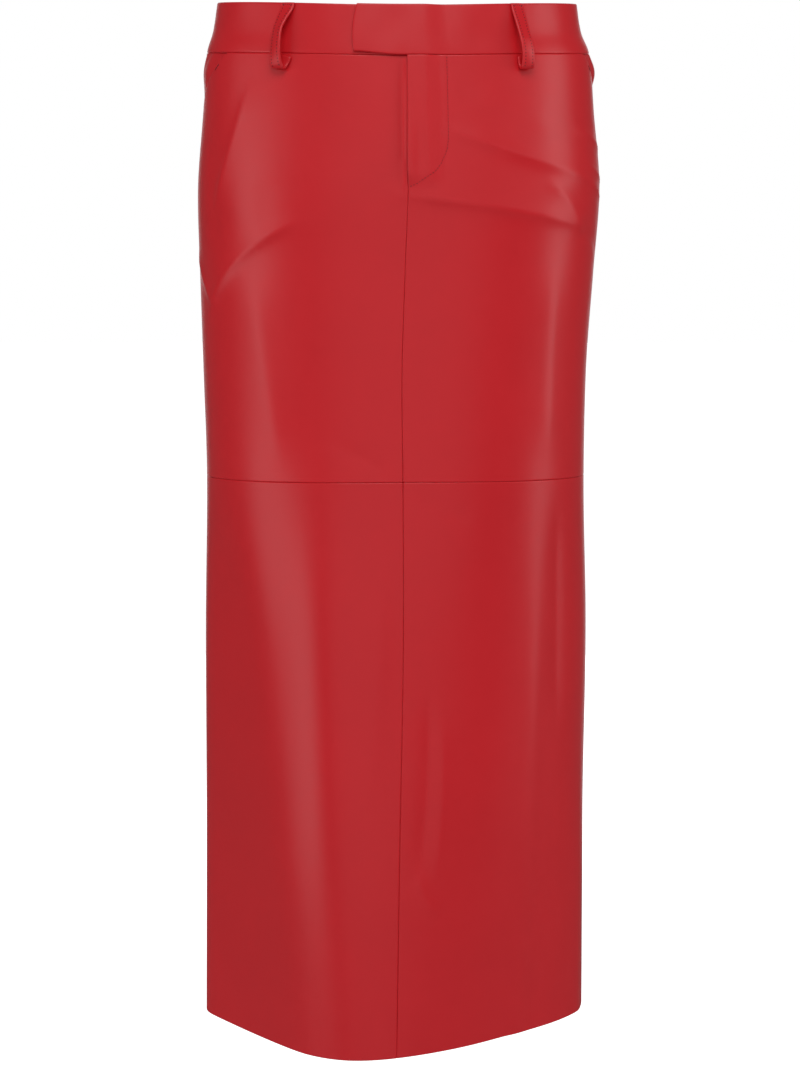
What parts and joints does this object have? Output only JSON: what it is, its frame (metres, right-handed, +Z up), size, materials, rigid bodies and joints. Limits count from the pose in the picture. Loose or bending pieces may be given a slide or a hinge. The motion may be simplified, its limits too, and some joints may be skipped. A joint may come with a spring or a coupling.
{
  "type": "pencil skirt",
  "caption": "Long pencil skirt in smooth leather, filled out and hollow, with a fly front, an overlap tab, slant pockets, belt loops and a knee seam.",
  "frame": {"origin": "middle of the waist, level with the top edge of the band", "axes": "+Z up out of the waist, the front faces -Y, +X is the viewer's right of someone who faces the front"},
  "size_m": [0.3416, 0.2933, 0.8761],
  "materials": {
    "upper_leather": "smooth satin nappa leather, red",
    "lower_leather": "smooth satin nappa leather, red, a shade deeper",
    "loop_leather": "folded and stitched strap of the same leather"
  },
  "bodies": {
    "root": {"waistband_under": "upper_leather", "waistband_over": "upper_leather", "front_upper_left": "upper_leather", "front_upper_right": "upper_leather", "pocket_facing_left": "upper_leather", "pocket_facing_right": "upper_leather", "back_upper_left": "upper_leather", "back_upper_right": "upper_leather", "front_lower_left": "lower_leather", "front_lower_right": "lower_leather", "back_lower_left": "lower_leather", "back_lower_right": "lower_leather", "belt_loop_front_left": "loop_leather", "belt_loop_front_right": "loop_leather", "belt_loop_back_left": "loop_leather", "belt_loop_back_middle": "loop_leather", "belt_loop_back_right": "loop_leather"}
  },
  "joints": []
}
